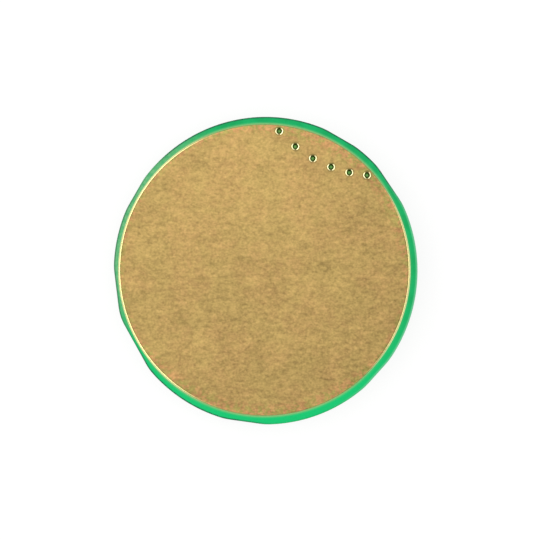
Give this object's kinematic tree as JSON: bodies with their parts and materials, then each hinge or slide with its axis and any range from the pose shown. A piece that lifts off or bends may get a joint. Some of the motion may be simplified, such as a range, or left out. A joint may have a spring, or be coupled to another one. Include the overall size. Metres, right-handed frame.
{
  "type": "battery protection board",
  "caption": "Round circuit board with one gold contact face in a ring of green mask, an arc of plated vias, and protection parts soldered on its other side.",
  "frame": {"origin": "on the board's axis, in the plane of the package tops that it rests on", "axes": "+Z is the outward normal of the gold contact face; +X and +Y lie in the board, with the arc of vias between them"},
  "size_m": [0.016, 0.0162, 0.0021],
  "materials": {
    "laminate": "satin",
    "gold_plating": "satin",
    "solder_mask": "satin",
    "legend": "matte",
    "copper": "satin",
    "tin_plating": "satin",
    "solder": "gloss",
    "moulding_compound": "matte",
    "alumina": "matte",
    "resistor_glaze": "satin",
    "capacitor_ceramic": "satin"
  },
  "bodies": {
    "root": {"battery_negative_land": "gold_plating", "battery_positive_land": "gold_plating", "cell_negative_copper": "copper", "cell_positive_copper": "copper", "charge_gate_copper": "copper", "component_side_mask": "solder_mask", "contact_pad": "gold_plating", "contact_side_mask": "solder_mask", "current_sense_copper": "copper", "discharge_gate_copper": "copper", "filter_capacitor_body": "capacitor_ceramic", "filter_capacitor_end_caps": "tin_plating", "filter_capacitor_solder": "solder", "laminate": "laminate", "legend": "legend", "mosfet_1_body": "moulding_compound", "mosfet_1_leads": "tin_plating", "mosfet_1_solder": "solder", "mosfet_2_body": "moulding_compound", "mosfet_2_leads": "tin_plating", "mosfet_2_solder": "solder", "pack_negative_copper": "copper", "protection_ic_body": "moulding_compound", "protection_ic_leads": "tin_plating", "protection_ic_solder": "solder", "sense_resistor_body": "alumina", "sense_resistor_end_caps": "tin_plating", "sense_resistor_glaze": "resistor_glaze", "sense_resistor_solder": "solder", "spare_pin_copper": "copper", "supply_copper": "copper", "supply_resistor_body": "alumina", "supply_resistor_end_caps": "tin_plating", "supply_resistor_glaze": "resistor_glaze", "supply_resistor_solder": "solder", "via_barrel_1": "gold_plating", "via_barrel_2": "gold_plating", "via_barrel_3": "gold_plating", "via_barrel_4": "gold_plating", "via_barrel_5": "gold_plating", "via_barrel_6": "gold_plating"}
  },
  "joints": []
}
